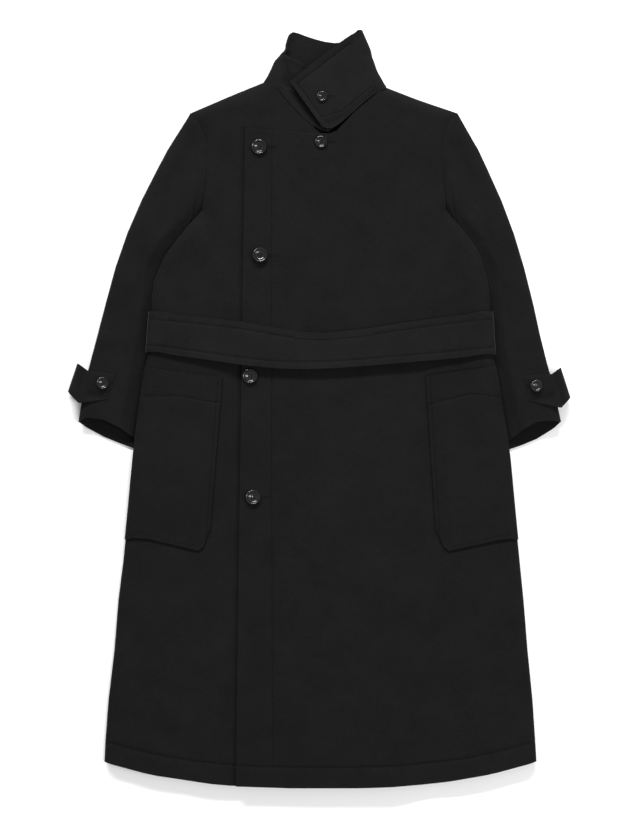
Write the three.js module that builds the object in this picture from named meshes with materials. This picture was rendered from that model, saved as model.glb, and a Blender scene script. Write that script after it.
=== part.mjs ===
// Long wrap coat in heavy wool, laid flat on its back with its collar turned up and its belt fastened.
// Millimetres. +X is the viewer's right, +Y runs from the hem to the collar, +Z is up off the floor.
import * as THREE from "three";

const { clamp, lerp, smoothstep } = THREE.MathUtils;

// Driving sizes
const CLOTH = 2.5; // one layer of the coat cloth
const DOUBLE = 4; // two layers pressed together, at hem and front edge
const SEAM = 0.3; // gap between sewn pieces
const REST = 0.4; // gap between a piece and what it lies on
const BODY_HEIGHT = 17; // top of the single front layer above the floor
const OVERLAP_RISE = 4.5; // how much higher the outer front lies than the inner one
const SIDE_ROLL = 15; // width of the rounded fold along the sides
const SHOULDER_ROLL = 16; // width of the rounded fold along shoulders and sleeves
const SHOULDER_Y = 472.8; // height of the shoulder points
const ARMPIT_Y = 316.8;
const HEM_Y = -566.4; // height of the hem corners
const HEM_SAG = 42; // how far the hem's middle hangs below its corners
const HEM_DEPTH = 33; // turned-up hem
const FACING_WIDTH = 52; // doubled band along the front edge
const HALF_HEM = 346;
const SLEEVE_TUCK = 6; // thickness of the sleeve where it lies under the body
const TUCK_SLOPE = 32; // width over which the back comes down from the sleeve to the floor
const BELT_WALL = 4.5;
const BELT_ROOM = 0.6; // gap between the belt and the body it is wound round
const BELT_STAND = 6.6; // how far the belt's lower edge stands off the front
const BELT_TOP_STAND = 2.2;
const BELT_END = 70; // half length of the lap of the belt's ends behind the back
const POCKET_ROOM = 5; // depth of the pocket's hollow
const POCKET_GAP = 0.8; // gap between the sewn pocket edges and the front
const STRAP_WALL = 3.6;
const STRAP_LOOP = 9; // radius of the strap's loop past the sleeve
const COLLAR_WALL = 4;

// The rounded folds are cut at these shares of a quarter turn.
const QUARTER = [0, 0.22, 0.5, 0.75, 1];

// Side edge of the body below the armpit: height and the two edges
const SIDE = [
  { y: 316.8, left: -190.4, right: 203.2 },
  { y: 309, left: -196.4, right: 208.6 },
  { y: 297.6, left: -206.6, right: 217.8 },
  { y: 284, left: -218, right: 229.2 },
  { y: 268.8, left: -230.4, right: 241.6 },
  { y: 243.2, left: -248.8, right: 256.8 },
  { y: 220.8, left: -261.6, right: 266.4 },
  { y: 188.8, left: -268.8, right: 271.2 },
  { y: 153.6, left: -269.6, right: 272 },
  { y: 121.6, left: -272, right: 274.4 },
  { y: 89.6, left: -274.4, right: 276 },
  { y: 67.2, left: -279.2, right: 280.8 },
  { y: 12.8, left: -288, right: 289.6 },
  { y: -64, left: -297.6, right: 302.4 },
  { y: -147.2, left: -305.6, right: 310.4 },
  { y: -243.2, left: -315.2, right: 320 },
  { y: -307.2, left: -323.2, right: 326.4 },
  { y: -387.2, left: -329.6, right: 332.8 },
  { y: -467.2, left: -339.2, right: 340.8 },
  { y: -531.2, left: -344, right: 345 },
  { y: HEM_Y, left: -345.6, right: 347.2 },
];

// Armhole seam from the shoulder point to the armpit
const ARMHOLE = [
  { y: 472.8, left: -207.2, right: 220 },
  { y: 466, left: -199.5, right: 211.5 },
  { y: 457.6, left: -192.6, right: 204.4 },
  { y: 447, left: -186.8, right: 199.4 },
  { y: 436.8, left: -183, right: 196.6 },
  { y: 412, left: -180.4, right: 195 },
  { y: 387.2, left: -180.8, right: 196 },
  { y: 365, left: -182.6, right: 198 },
  { y: 341, left: -186, right: 200.6 },
  { y: 316.8, left: -190.4, right: 203.2 },
];

// Outer fold of the sleeve, from the shoulder point to the cuff
const SLEEVE_OUTER = [
  { y: 472.8, left: -207.2, right: 220 },
  { y: 462, left: -213.4, right: 226 },
  { y: 440, left: -227.5, right: 238.5 },
  { y: 412.8, left: -244.8, right: 254.4 },
  { y: 372, left: -266.5, right: 273.5 },
  { y: 332.8, left: -286.4, right: 291.2 },
  { y: 292, left: -304.5, right: 307 },
  { y: 252.8, left: -320, right: 320 },
  { y: 212, left: -332, right: 331 },
  { y: 172.8, left: -342.4, right: 340.8 },
  { y: 132, left: -353, right: 349.5 },
  { y: 92.8, left: -363.2, right: 358.4 },
  { y: 36.8, left: -377.6, right: 373.5 },
  { y: -22, left: -387.2, right: 386.4 },
];

// Inner fold of the sleeve: it starts beside the body and passes under it
const UNDERARM = [
  { y: 316.5, left: -190.8, right: 203.6 },
  { y: 309, left: -197.1, right: 209.3 },
  { y: 302, left: -201.6, right: 213.6 },
  { y: 284, left: -208.5, right: 220.5 },
  { y: 260.8, left: -214.4, right: 225.6 },
  { y: 220.8, left: -222.4, right: 232 },
  { y: 153.6, left: -232, right: 238.4 },
  { y: 76.8, left: -243.2, right: 248 },
  { y: -73.6, left: -252.8, right: 257.6 },
];

// How far the cuff's front and back edges bow up and down, by share of the way across
const CUFF_BOW = [
  { share: 0, leftFront: 0, leftBack: 0, rightFront: 0, rightBack: 0 },
  { share: 0.08, leftFront: 11, leftBack: -4, rightFront: 6, rightBack: -6 },
  { share: 0.3, leftFront: 19, leftBack: -8.5, rightFront: 15.5, rightBack: -12 },
  { share: 0.42, leftFront: 19, leftBack: -9.5, rightFront: 15, rightBack: -12.8 },
  { share: 0.54, leftFront: 14, leftBack: -9.5, rightFront: 9, rightBack: -12.4 },
  { share: 0.68, leftFront: 8.4, leftBack: -8.6, rightFront: 3.4, rightBack: -11 },
  { share: 1, leftFront: 0, leftBack: 0, rightFront: 0, rightBack: 0 },
];

// Top edges, from the panel's shoulder point inwards: shoulder, neckline, then the front's free top edge
const INNER_FRONT_TOP = [
  { x: -207.2, y: 472.8 },
  { x: -144, y: 500 },
  { x: -83.2, y: 524.8 },
  { x: -71, y: 510.8 },
  { x: -59.2, y: 497.6 },
  { x: -35.2, y: 472 },
  { x: -11.2, y: 449.6 },
  { x: 8, y: 434 },
  { x: 121.6, y: 434 },
];
const OUTER_FRONT_TOP = [
  { x: 220, y: 472.8 },
  { x: 158.4, y: 493.6 },
  { x: 103.5, y: 515 },
  { x: 96, y: 508 },
  { x: 88, y: 500.8 },
  { x: 56, y: 474.6 },
  { x: 26.4, y: 443.2 },
  { x: 14, y: 438.6 },
  { x: -60, y: 443.6 },
  { x: -120, y: 448 },
];
const BACK_TOP = [
  { x: -207.2, y: 472.8 },
  { x: -144, y: 500 },
  { x: -83.2, y: 524.8 },
  { x: -72, y: 516 },
  { x: -48, y: 508.8 },
  { x: 8, y: 502.4 },
  { x: 64, y: 506 },
  { x: 94, y: 509.5 },
  { x: 103.5, y: 515 },
  { x: 158.4, y: 493.6 },
  { x: 220, y: 472.8 },
];

// Belt edges across the front
const BELT_EDGES = [
  { x: -279, top: 154.4, bottom: 89.6 },
  { x: -203.2, top: 147.2, bottom: 80.6 },
  { x: -128, top: 138.6, bottom: 69.4 },
  { x: -73.6, top: 128.8, bottom: 63.5 },
  { x: -30.4, top: 121.6, bottom: 62.4 },
  { x: 0, top: 120, bottom: 62.6 },
  { x: 60.8, top: 124.8, bottom: 66.2 },
  { x: 130.6, top: 136, bottom: 72.4 },
  { x: 204, top: 146.2, bottom: 78.6 },
  { x: 279, top: 154.4, bottom: 86 },
];

// Collar, outer face: the strip's run from its inner front end, round the neck, to the end of its flap.
// Each row is a crossing of the strip, with its foot on the neck seam and its head on the free edge.
const COLLAR = [
  { footX: 15, footY: 441.5, footZ: 17, headX: 58, headY: 508, headZ: 19 },
  { footX: -12.4, footY: 452.6, footZ: 17.4, headX: 16, headY: 528, headZ: 19.5 },
  { footX: -34.8, footY: 473.4, footZ: 17.4, headX: -20.8, headY: 547.2, headZ: 20 },
  { footX: -58.4, footY: 498.8, footZ: 17, headX: -46, headY: 560.5, headZ: 20 },
  { footX: -73, footY: 519.6, footZ: 14.4, headX: -56.6, headY: 567, headZ: 17.5 },
  { footX: -82.2, footY: 525.6, footZ: 9, headX: -56, headY: 583, headZ: 13 },
  { footX: -78.5, footY: 522.8, footZ: 4.4, headX: -51, headY: 597, headZ: 8 },
  { footX: -66, footY: 516.4, footZ: 1.6, headX: -43.5, headY: 603.5, headZ: 3 },
  { footX: -45, footY: 510, footZ: 0.6, headX: -24, headY: 597.5, headZ: 0.8 },
  { footX: 8, footY: 503.6, footZ: 0.2, headX: 8, headY: 588, headZ: 0.2 },
  { footX: 52, footY: 506.6, footZ: 0.4, headX: 37, headY: 587, headZ: 0.6 },
  { footX: 80, footY: 510, footZ: 1.8, headX: 52, headY: 597.5, headZ: 2.4 },
  { footX: 98, footY: 516.4, footZ: 5.4, headX: 62.5, headY: 607, headZ: 6.5 },
  { footX: 105, footY: 519, footZ: 12, headX: 68, headY: 605, headZ: 13 },
  { footX: 101, footY: 515.6, footZ: 19, headX: 66, headY: 602.6, headZ: 20 },
  { footX: 88.5, footY: 503.4, footZ: 22.6, headX: 57, headY: 600, headZ: 24.5 },
  { footX: 66, footY: 485, footZ: 25, headX: 41, headY: 590, headZ: 27 },
  { footX: 42, footY: 463.6, footZ: 26, headX: 7, headY: 565, headZ: 28 },
  { footX: 20, footY: 447.6, footZ: 26.4, headX: -30, headY: 536, headZ: 27.6 },
  { footX: 3.2, footY: 449.6, footZ: 26.4, headX: -48.5, headY: 521.6, headZ: 27 },
];

// Buttons: where they sit, on which piece, and how wide they are
const BUTTONS = [
  { name: "button_chest", on: "front_outer", x: -97.6, y: 417.6, diameter: 25 },
  { name: "button_waist", on: "front_outer", x: -96, y: 244.8, diameter: 25 },
  { name: "button_under_belt", on: "front_outer", x: -112, y: 51.2, diameter: 25 },
  { name: "button_hip", on: "front_outer", x: -107.2, y: -142.4, diameter: 25 },
  { name: "button_neck", on: "front_outer", x: 1.6, y: 425.6, diameter: 20 },
  { name: "button_collar", on: "collar", x: 3.2, y: 497.6, diameter: 17 },
  { name: "button_sleeve_left", on: "sleeve_strap_left", x: -347.2, y: 40, diameter: 20 },
  { name: "button_sleeve_right", on: "sleeve_strap_right", x: 345.6, y: 35.2, diameter: 20 },
];

const LEFT = "left";
const RIGHT = "right";

// A table's column at any height or place, straight between its rows
function tableAt(rows, key, column, at) {
  const rising = rows[rows.length - 1][key] > rows[0][key];
  let i = 0;
  while (i < rows.length - 2 && (rising ? rows[i + 1][key] < at : rows[i + 1][key] > at)) i++;
  const share = clamp((at - rows[i][key]) / (rows[i + 1][key] - rows[i][key]), 0, 1);
  return lerp(rows[i][column], rows[i + 1][column], share);
}

const outward = (side) => (side === LEFT ? -1 : 1);
const sideOf = (x) => (x < 0 ? LEFT : RIGHT);
const lineOf = (rows, side) => rows.map((row) => new THREE.Vector2(row[side], row.y));
const shoulderLine = (top) => top.slice(0, 3).map(({ x, y }) => new THREE.Vector2(x, y));

const FOLD = {
  left: {
    side: lineOf(SIDE, LEFT),
    underarm: lineOf(UNDERARM, LEFT),
    shoulder: [...shoulderLine(INNER_FRONT_TOP).reverse(), ...lineOf(SLEEVE_OUTER, LEFT).slice(1)],
  },
  right: {
    side: lineOf(SIDE, RIGHT),
    underarm: lineOf(UNDERARM, RIGHT),
    shoulder: [...shoulderLine(OUTER_FRONT_TOP).reverse(), ...lineOf(SLEEVE_OUTER, RIGHT).slice(1)],
  },
};

// Shortest distance from a place on the floor plan to a line of points
function distanceTo(line, x, y) {
  let best = Infinity;
  for (let i = 0; i < line.length - 1; i++) {
    const ax = line[i].x;
    const ay = line[i].y;
    const dx = line[i + 1].x - ax;
    const dy = line[i + 1].y - ay;
    const t = clamp(((x - ax) * dx + (y - ay) * dy) / (dx * dx + dy * dy), 0, 1);
    best = Math.min(best, Math.hypot(x - ax - t * dx, y - ay - t * dy));
  }
  return best;
}

// Height of a rounded fold, from 0 at its outermost line to 1 where it has become flat
const rolled = (distance, width) => Math.sqrt(1 - (1 - clamp(distance / width, 0, 1)) ** 2);
const edgeX = (side, y) => tableAt(y > ARMPIT_Y ? ARMHOLE : SIDE, "y", side, y);
const inwards = (rows, x, y) => outward(sideOf(x)) * (tableAt(rows, "y", sideOf(x), y) - x);
const belowArmpit = (y) => ARMPIT_Y - y;

// Lift of the back where a sleeve is tucked under it
function tuckLift(x, y) {
  const along = smoothstep(belowArmpit(y), 2, 14) * (1 - smoothstep(-y, 84, 135));
  return (SLEEVE_TUCK + REST) * along * (1 - smoothstep(inwards(UNDERARM, x, y), 10, 10 + TUCK_SLOPE));
}

// Lift of the back where the belt passes under it, twice over where the belt's ends lap
function beltLift(x, y) {
  const band = smoothstep(y, 50, 84) * (1 - smoothstep(y, 160, 194));
  const layers = 2 - smoothstep(Math.abs(x), BELT_END + 20, BELT_END + 75);
  return (BELT_WALL + BELT_ROOM) * layers * band;
}

const underside = (x, y) => tuckLift(x, y) + beltLift(x, y);

// The flat height of the single front layer, a little higher where it lies over a sleeve
function frontHeight(x, y) {
  const along = smoothstep(belowArmpit(y), 0, 60) * (1 - smoothstep(-y, 70, 200));
  const belted = smoothstep(y, 30, 80) * (1 - smoothstep(y, 165, 215));
  return BODY_HEIGHT + (5 * along + 2.5 * belted) * (1 - smoothstep(inwards(SIDE, x, y), 25, 62));
}

// The outer front lies on the inner one as far as the inner one reaches
const overlapRise = (x) => OVERLAP_RISE * (1 - smoothstep(x, 126, 172));

function bodyRoll(x, y) {
  const fold = FOLD[sideOf(x)];
  const side = rolled(distanceTo(fold.side, x, y), SIDE_ROLL);
  return Math.min(side, rolled(distanceTo(fold.shoulder, x, y), SHOULDER_ROLL));
}

const bodyMiddle = (x, y) => (underside(x, y) + frontHeight(x, y)) / 2;

function frontTop(x, y, rise = 0) {
  const middle = bodyMiddle(x, y);
  return middle + SEAM / 2 + (frontHeight(x, y) + rise - middle - SEAM / 2) * bodyRoll(x, y);
}

function backUnder(x, y) {
  const middle = bodyMiddle(x, y);
  return middle - SEAM / 2 - (middle - SEAM / 2 - underside(x, y)) * bodyRoll(x, y);
}

// Sleeve heights: it dips beside the body's fold and lies pressed under it
function sleeveHeight(x, y) {
  const beside = 1 - smoothstep(-inwards(SIDE, x, y), 0, 26);
  const pressed = smoothstep(belowArmpit(y), 1, 13) * beside;
  const full = BODY_HEIGHT + 2.5 * smoothstep(belowArmpit(y), 120, 330);
  return lerp(full, SLEEVE_TUCK, pressed);
}

// Lift of the sleeve over the strap that passes under it
function strapLift(x, y) {
  const strap = STRAP[sideOf(x)];
  const along = Math.abs(y - strap.crossY);
  const reach = outward(sideOf(x)) * x - strap.rootX;
  return (STRAP_WALL + REST) * (1 - smoothstep(along, 46, 72)) * smoothstep(reach, -26, -2);
}

function sleeveFace(x, y, up) {
  const fold = FOLD[sideOf(x)];
  const innerRoll = lerp(SIDE_ROLL, 6, smoothstep(belowArmpit(y), 0, 13));
  const inner = rolled(distanceTo(fold.underarm, x, y), innerRoll);
  const roll = Math.min(inner, rolled(distanceTo(fold.shoulder, x, y), SHOULDER_ROLL));
  const low = strapLift(x, y);
  const middle = (low + sleeveHeight(x, y)) / 2;
  return up ? middle + (sleeveHeight(x, y) - middle) * roll : middle - (middle - low) * roll;
}

// Cloth walls

// Unit normals of a grid of points, from its neighbours; a ring closes on its first point.
function gridNormals(grid, ring, sign) {
  const rows = grid.length;
  const columns = grid[0].length;
  return grid.map((row, j) =>
    row.map((point, i) => {
      const before = ring ? (i + columns - 1) % columns : Math.max(i - 1, 0);
      const after = ring ? (i + 1) % columns : Math.min(i + 1, columns - 1);
      const across = new THREE.Vector3().subVectors(row[after], row[before]);
      const up = grid[Math.min(j + 1, rows - 1)][i].clone().sub(grid[Math.max(j - 1, 0)][i]);
      return across.cross(up).normalize().multiplyScalar(sign);
    }),
  );
}

// A grid moved along its normals by a distance that may change from point to point
function moved(grid, normals, distance) {
  return grid.map((row, j) =>
    row.map((point, i) => point.clone().addScaledVector(normals[j][i], distance(point, i, j))),
  );
}

function signedVolume(positions, index) {
  const corner = (k) => new THREE.Vector3().fromArray(positions, index[k] * 3);
  let sum = 0;
  for (let k = 0; k < index.length; k += 3) {
    sum += corner(k).dot(corner(k + 1).cross(corner(k + 2)));
  }
  return sum / 6;
}

// The closed wall between two grids of the same size
function wallGeometry(outer, inner, ring = false) {
  const rows = outer.length;
  const columns = outer[0].length;
  const positions = [...outer.flat(), ...inner.flat()].flatMap((p) => [p.x, p.y, p.z]);
  const index = [];
  const at = (layer, j, i) => layer * rows * columns + j * columns + (i % columns);
  const face = (a, b, c, d) => index.push(a, b, c, a, c, d);
  const steps = ring ? columns : columns - 1;
  for (let j = 0; j < rows - 1; j++) {
    for (let i = 0; i < steps; i++) {
      face(at(0, j, i), at(0, j, i + 1), at(0, j + 1, i + 1), at(0, j + 1, i));
      face(at(1, j, i), at(1, j + 1, i), at(1, j + 1, i + 1), at(1, j, i + 1));
    }
  }
  for (let i = 0; i < steps; i++) {
    face(at(0, 0, i + 1), at(0, 0, i), at(1, 0, i), at(1, 0, i + 1));
    face(at(0, rows - 1, i), at(0, rows - 1, i + 1), at(1, rows - 1, i + 1), at(1, rows - 1, i));
  }
  if (!ring) {
    for (let j = 0; j < rows - 1; j++) {
      face(at(0, j, 0), at(0, j + 1, 0), at(1, j + 1, 0), at(1, j, 0));
      face(at(0, j + 1, steps), at(0, j, steps), at(1, j, steps), at(1, j + 1, steps));
    }
  }
  if (signedVolume(positions, index) < 0) {
    for (let k = 0; k < index.length; k += 3) [index[k], index[k + 1]] = [index[k + 1], index[k]];
  }
  const geometry = new THREE.BufferGeometry();
  geometry.setAttribute("position", new THREE.Float32BufferAttribute(positions, 3));
  geometry.setIndex(index);
  geometry.computeVertexNormals();
  return geometry;
}

// Lays a normal level, so that the two walls meet face to face at a seam on a fold.
function level(normal) {
  normal.z = 0;
  return normal.normalize();
}

// Body panels

const SLEEVE_SEAM_STEPS = [0, 2, 7, 15, 36, 62, 90, 118, 140, 146, 151.5, 155, 156];
// Insets of the back's columns that hold the step over a tucked sleeve
const TUCK_INSETS = [30, 52, 72, 95];
const armSpan = SHOULDER_Y - ARMPIT_Y;
const armShares = SLEEVE_SEAM_STEPS.map((step) => step / armSpan);
const BODY_ROWS = [
  HEM_Y, HEM_Y + HEM_DEPTH - 1, HEM_Y + HEM_DEPTH + 1, -467.2, -387.2, -307.2, -243.2, -195, -147.2, -105,
  -64, -12, 36, 62, 86, 121.6, 157, 178, 203, 243.2, 268.8, 290, 305,
];

const hemDrop = (x) => HEM_SAG * (1 - Math.min(Math.abs(x) / HALF_HEM, 1) ** 2.7);

// Width beside a side fold that holds the columns at fixed insets
const edgeMargin = (sides) => (sides === 2 ? TUCK_INSETS[TUCK_INSETS.length - 1] : SIDE_ROLL);

// Columns of a panel: fixed insets beside each side fold, and shares of the width between them
function panelColumns(sides, shares) {
  const insets = QUARTER.map((share) => SIDE_ROLL * (1 - Math.cos((share * Math.PI) / 2)));
  if (sides === 2) insets.push(...TUCK_INSETS);
  const start = insets.map((inset) => ({ inset, share: 0 }));
  const end = insets.map((inset) => ({ inset: -inset, share: 1 })).reverse();
  const middle = shares.map((share) => ({ inset: 0, share, free: true }));
  return sides === 2 ? [...start, ...middle, ...end] : [...start, ...middle];
}

// Shares of a top edge's width at which its corners lie
function cornerShares(top, sides) {
  const first = top[0].x;
  const last = top[top.length - 1].x;
  const turn = Math.sign(last - first);
  const margin = edgeMargin(sides);
  const from = first + turn * margin;
  const to = sides === 2 ? last - turn * margin : last;
  const shares = top.slice(1).map(({ x }) => (x - from) / (to - from));
  return shares.filter((share) => share > 0.02 && (sides === 1 || share < 0.98));
}

// The floor plan of a panel: rows from hem to top edge, columns from its first edge to its last
function panelPlan({ top, sides, shares, firstEdge, lastEdge }) {
  const columns = panelColumns(sides, shares);
  const turn = Math.sign(top[top.length - 1].x - top[0].x);
  const xOf = ({ inset, share, free }, y) => {
    const first = firstEdge(y);
    const last = lastEdge(y);
    if (!free) return (share === 0 ? first : last) + turn * inset;
    const margin = edgeMargin(sides);
    return lerp(first + turn * margin, sides === 2 ? last - turn * margin : last, share);
  };
  const low = BODY_ROWS.map((y) =>
    columns.map((column) => {
      const x = xOf(column, y);
      return new THREE.Vector2(x, y - hemDrop(x) * (1 - smoothstep(y, HEM_Y + HEM_DEPTH + 2, -340)));
    }),
  );
  const high = armShares.map((share) => {
    const rowY = lerp(ARMPIT_Y, SHOULDER_Y, share);
    return columns.map((column) => {
      const topY = tableAt(top, "x", "y", xOf(column, SHOULDER_Y));
      return new THREE.Vector2(xOf(column, rowY), lerp(ARMPIT_Y, topY, share));
    });
  });
  return [...low, ...high];
}

const raise = (plan, height) => plan.map((row) => row.map(({ x, y }) => new THREE.Vector3(x, y, height(x, y))));

// Turns a normal into the upright plane of a seam, so that the walls on both sides of it stay apart.
function intoSeam(normal, before, after) {
  const across = new THREE.Vector3(before.y - after.y, after.x - before.x, 0).normalize();
  return normal.projectOnPlane(across).normalize();
}

// Normals of a body panel, laid level along the side and shoulder seams
function panelNormals(grid, sides, sign, shoulderColumns) {
  const normals = gridNormals(grid, false, sign);
  const last = grid[0].length - 1;
  const edges = sides === 2 ? [0, last] : [0];
  grid.forEach((row, j) => {
    edges.forEach((i) => {
      if (j <= BODY_ROWS.length) level(normals[j][i]);
      else intoSeam(normals[j][i], grid[j - 1][i], grid[Math.min(j + 1, grid.length - 1)][i]);
    });
  });
  const topRow = normals[normals.length - 1];
  topRow.forEach((normal, i) => {
    if (shoulderColumns(i) || edges.includes(i)) level(normal);
  });
  return normals;
}

const isHemRow = (j) => j < 2;
const overlapEdge = (y) => lerp(-120, -135.2, (448 - y) / 1054);

const innerFrontShares = [...cornerShares(INNER_FRONT_TOP, 1), 0.1, 0.82].sort((a, b) => a - b);
const outerFrontShares = [...cornerShares(OUTER_FRONT_TOP, 1), 0.1, 0.27].sort((a, b) => a - b);
const backShares = [...cornerShares(BACK_TOP, 2), 0.42].sort((a, b) => a - b);

function bodyPanel({ top, sides, shares, firstEdge, lastEdge, height, sign, wall }) {
  const grid = raise(panelPlan({ top, sides, shares, firstEdge, lastEdge }), height);
  const neckX = Math.min(...top.filter(({ y }) => y > SHOULDER_Y + 40).map(({ x }) => Math.abs(x)));
  const isSeamEdge = (i) => i === 0 || (sides === 2 && i === grid[0].length - 1);
  const onShoulder = (i) => Math.abs(grid[grid.length - 1][i].x) > neckX - 1 && !isSeamEdge(i);
  const normals = panelNormals(grid, sides, sign, onShoulder);
  return { outer: grid, inner: moved(grid, normals, (point, i, j) => -wall(point, j)) };
}

const panels = {
  back: bodyPanel({
    top: BACK_TOP,
    sides: 2,
    shares: backShares,
    firstEdge: (y) => edgeX(LEFT, y),
    lastEdge: (y) => edgeX(RIGHT, y),
    height: backUnder,
    sign: -1,
    wall: (point, j) => (isHemRow(j) ? DOUBLE : CLOTH),
  }),
  front_inner: bodyPanel({
    top: INNER_FRONT_TOP,
    sides: 1,
    shares: innerFrontShares,
    firstEdge: (y) => edgeX(LEFT, y),
    lastEdge: () => 121.6,
    height: (x, y) => frontTop(x, y),
    sign: 1,
    wall: (point, j) => (isHemRow(j) ? DOUBLE : CLOTH),
  }),
  front_outer: bodyPanel({
    top: OUTER_FRONT_TOP,
    sides: 1,
    shares: outerFrontShares,
    firstEdge: (y) => edgeX(RIGHT, y),
    lastEdge: overlapEdge,
    height: (x, y) => frontTop(x, y, overlapRise(x)),
    sign: -1,
    wall: (point, j) => {
      const facing = point.x < overlapEdge(point.y) + FACING_WIDTH;
      return isHemRow(j) || facing ? DOUBLE : CLOTH;
    },
  }),
};

// The highest point of a grid at a place on the plan, with its normal
function pointOn(grid, x, y) {
  const triangle = new THREE.Triangle();
  const place = new THREE.Vector3(x, y, 0);
  const flat = [0, 1, 2].map(() => new THREE.Vector3());
  let best = null;
  const tryTriangle = (a, b, c) => {
    [a, b, c].forEach((p, k) => flat[k].set(p.x, p.y, 0));
    const weights = THREE.Triangle.getBarycoord(place, ...flat, new THREE.Vector3());
    if (!weights || Math.min(weights.x, weights.y, weights.z) < -1e-6) return;
    const z = a.z * weights.x + b.z * weights.y + c.z * weights.z;
    if (best && best.point.z >= z) return;
    const normal = triangle.set(a, b, c).getNormal(new THREE.Vector3());
    best = { point: new THREE.Vector3(x, y, z), normal: normal.z < 0 ? normal.negate() : normal };
  };
  for (let j = 0; j < grid.length - 1; j++) {
    for (let i = 0; i < grid[0].length - 1; i++) {
      tryTriangle(grid[j][i], grid[j][i + 1], grid[j + 1][i + 1]);
      tryTriangle(grid[j][i], grid[j + 1][i + 1], grid[j + 1][i]);
    }
  }
  return best;
}

// Sleeves

// The sleeve straps: each has a leg under the sleeve, a loop past its outer fold and a leg over it.
// Tip, cross and loop are the x and y of the strap's upper and lower edge at the end of the leg over the
// sleeve, at the sleeve's outer fold, and at the outermost line of the loop.
const STRAP = {
  left: {
    crossY: 30,
    rootX: 338,
    tip: [[-326, 56], [-340, 14.3]],
    cross: [[-373.6, 60.3], [-386.1, 8]],
    loop: [[-388.8, 72], [-404, 26.6]],
  },
  right: {
    crossY: 26,
    rootX: 334,
    tip: [[325.5, 53.5], [336.5, 10.7]],
    cross: [[372.2, 54.4], [386.1, 0.6]],
    loop: [[386.1, 65], [401.3, 17.3]],
  },
};

const SLEEVE_ROWS = [0, 0.02, 0.045, 0.08, 0.13, 0.2, 0.3, 0.41, 0.52, 0.63, 0.73, 0.81, 0.88, 0.94, 1];

// A point at a share of a line's length
function pointAlong(line, share) {
  const lengths = line.slice(1).map((point, i) => point.distanceTo(line[i]));
  let left = share * lengths.reduce((sum, length) => sum + length, 0);
  for (let i = 0; i < lengths.length; i++) {
    if (left <= lengths[i] || i === lengths.length - 1) {
      return line[i].clone().lerp(line[i + 1], Math.min(left / lengths[i], 1));
    }
    left -= lengths[i];
  }
}

// Shares across one row of the sleeve: as on the armhole seam at first, then set by the body's edge above it
function sleeveShares(seamShares, from, to, settled) {
  const length = from.distanceTo(to);
  let open = 0;
  let covered = 1;
  for (let i = 0; i < 20; i++) {
    const middle = (open + covered) / 2;
    const { x, y } = from.clone().lerp(to, middle);
    if (inwards(SIDE, x, y) > 0) covered = middle;
    else open = middle;
  }
  const body = Math.min(covered * length + 1.5, length - 9);
  const fold = [0, 1, 4.5, 10, 16];
  const dip = [lerp(16, body - 27, 0.5), body - 27, body - 13, body];
  const tuck = [lerp(body, length, 0.45), length - 5, length - 1.6, length];
  const settledShares = [...fold, ...dip, ...tuck].map((distance) => distance / length);
  return seamShares.map((share, i) => lerp(share, settledShares[i], settled));
}

function sleevePanel(side) {
  const outerFold = lineOf(SLEEVE_OUTER, side);
  const innerFold = lineOf(UNDERARM, side);
  const across = [...armShares].reverse().map((share) => 1 - share);
  const crossings = across.map((share, column) => ({ share, column, up: true }));
  crossings.push(...crossings.slice(1, -1).reverse().map((crossing) => ({ ...crossing, up: false })));
  const away = outward(side);
  const grid = SLEEVE_ROWS.map((row) => {
    const from = pointAlong(outerFold, row);
    const to = pointAlong(innerFold, row);
    const seamShare = 1 - smoothstep(row, 0, 0.3);
    const cuffShare = smoothstep(row, 0.8, 1);
    const shares = sleeveShares(across, from, to, smoothstep(row, 0.01, 0.08));
    return crossings.map(({ column, up }) => {
      const share = shares[column];
      const seamY = lerp(SHOULDER_Y, ARMPIT_Y, share);
      const straightX = lerp(outerFold[0].x, innerFold[0].x, share);
      const bow = edgeX(side, seamY + 1e-6) - straightX;
      const cuff = tableAt(CUFF_BOW, "share", side + (up ? "Front" : "Back"), share);
      const x = lerp(from.x, to.x, share) + bow * seamShare + away * REST * seamShare;
      const y = lerp(from.y, to.y, share) + cuff * cuffShare;
      return new THREE.Vector3(x, y, sleeveFace(x, y, up));
    });
  });
  // At the armhole both edges of the ring stand at the height of the body's edges.
  grid[0].forEach((point, i) => {
    const { share, up } = crossings[i];
    const y = lerp(SHOULDER_Y, ARMPIT_Y, share);
    const x = edgeX(side, y + 1e-6);
    if (share > 0 && share < 1) point.z = up ? frontTop(x, y) : backUnder(x, y);
  });
  const normals = gridNormals(grid, true, away);
  normals.forEach((row) => {
    level(row[0]);
    level(row[across.length - 1]);
  });
  const seam = grid[0];
  normals[0].forEach((normal, i) => {
    const before = seam[crossings[i].up ? Math.max(i - 1, 0) : i - 1];
    const after = seam[crossings[i].up ? Math.min(i + 1, across.length - 1) : (i + 1) % seam.length];
    intoSeam(normal, before, after);
  });
  return { outer: grid, inner: moved(grid, normals, () => -CLOTH), ring: true };
}

panels.sleeve_left = sleevePanel(LEFT);
panels.sleeve_right = sleevePanel(RIGHT);

// Belt: it starts behind the back, passes round the left side, across the front, round the right side
// and ends behind the back on its own first end.

const beltAcross = [0, 0.34, 0.67, 1];

function beltEdgesAt(x, behind) {
  const place = behind ? outward(sideOf(x)) * 279 : x;
  return { top: tableAt(BELT_EDGES, "x", "top", place), bottom: tableAt(BELT_EDGES, "x", "bottom", place) };
}

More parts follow.
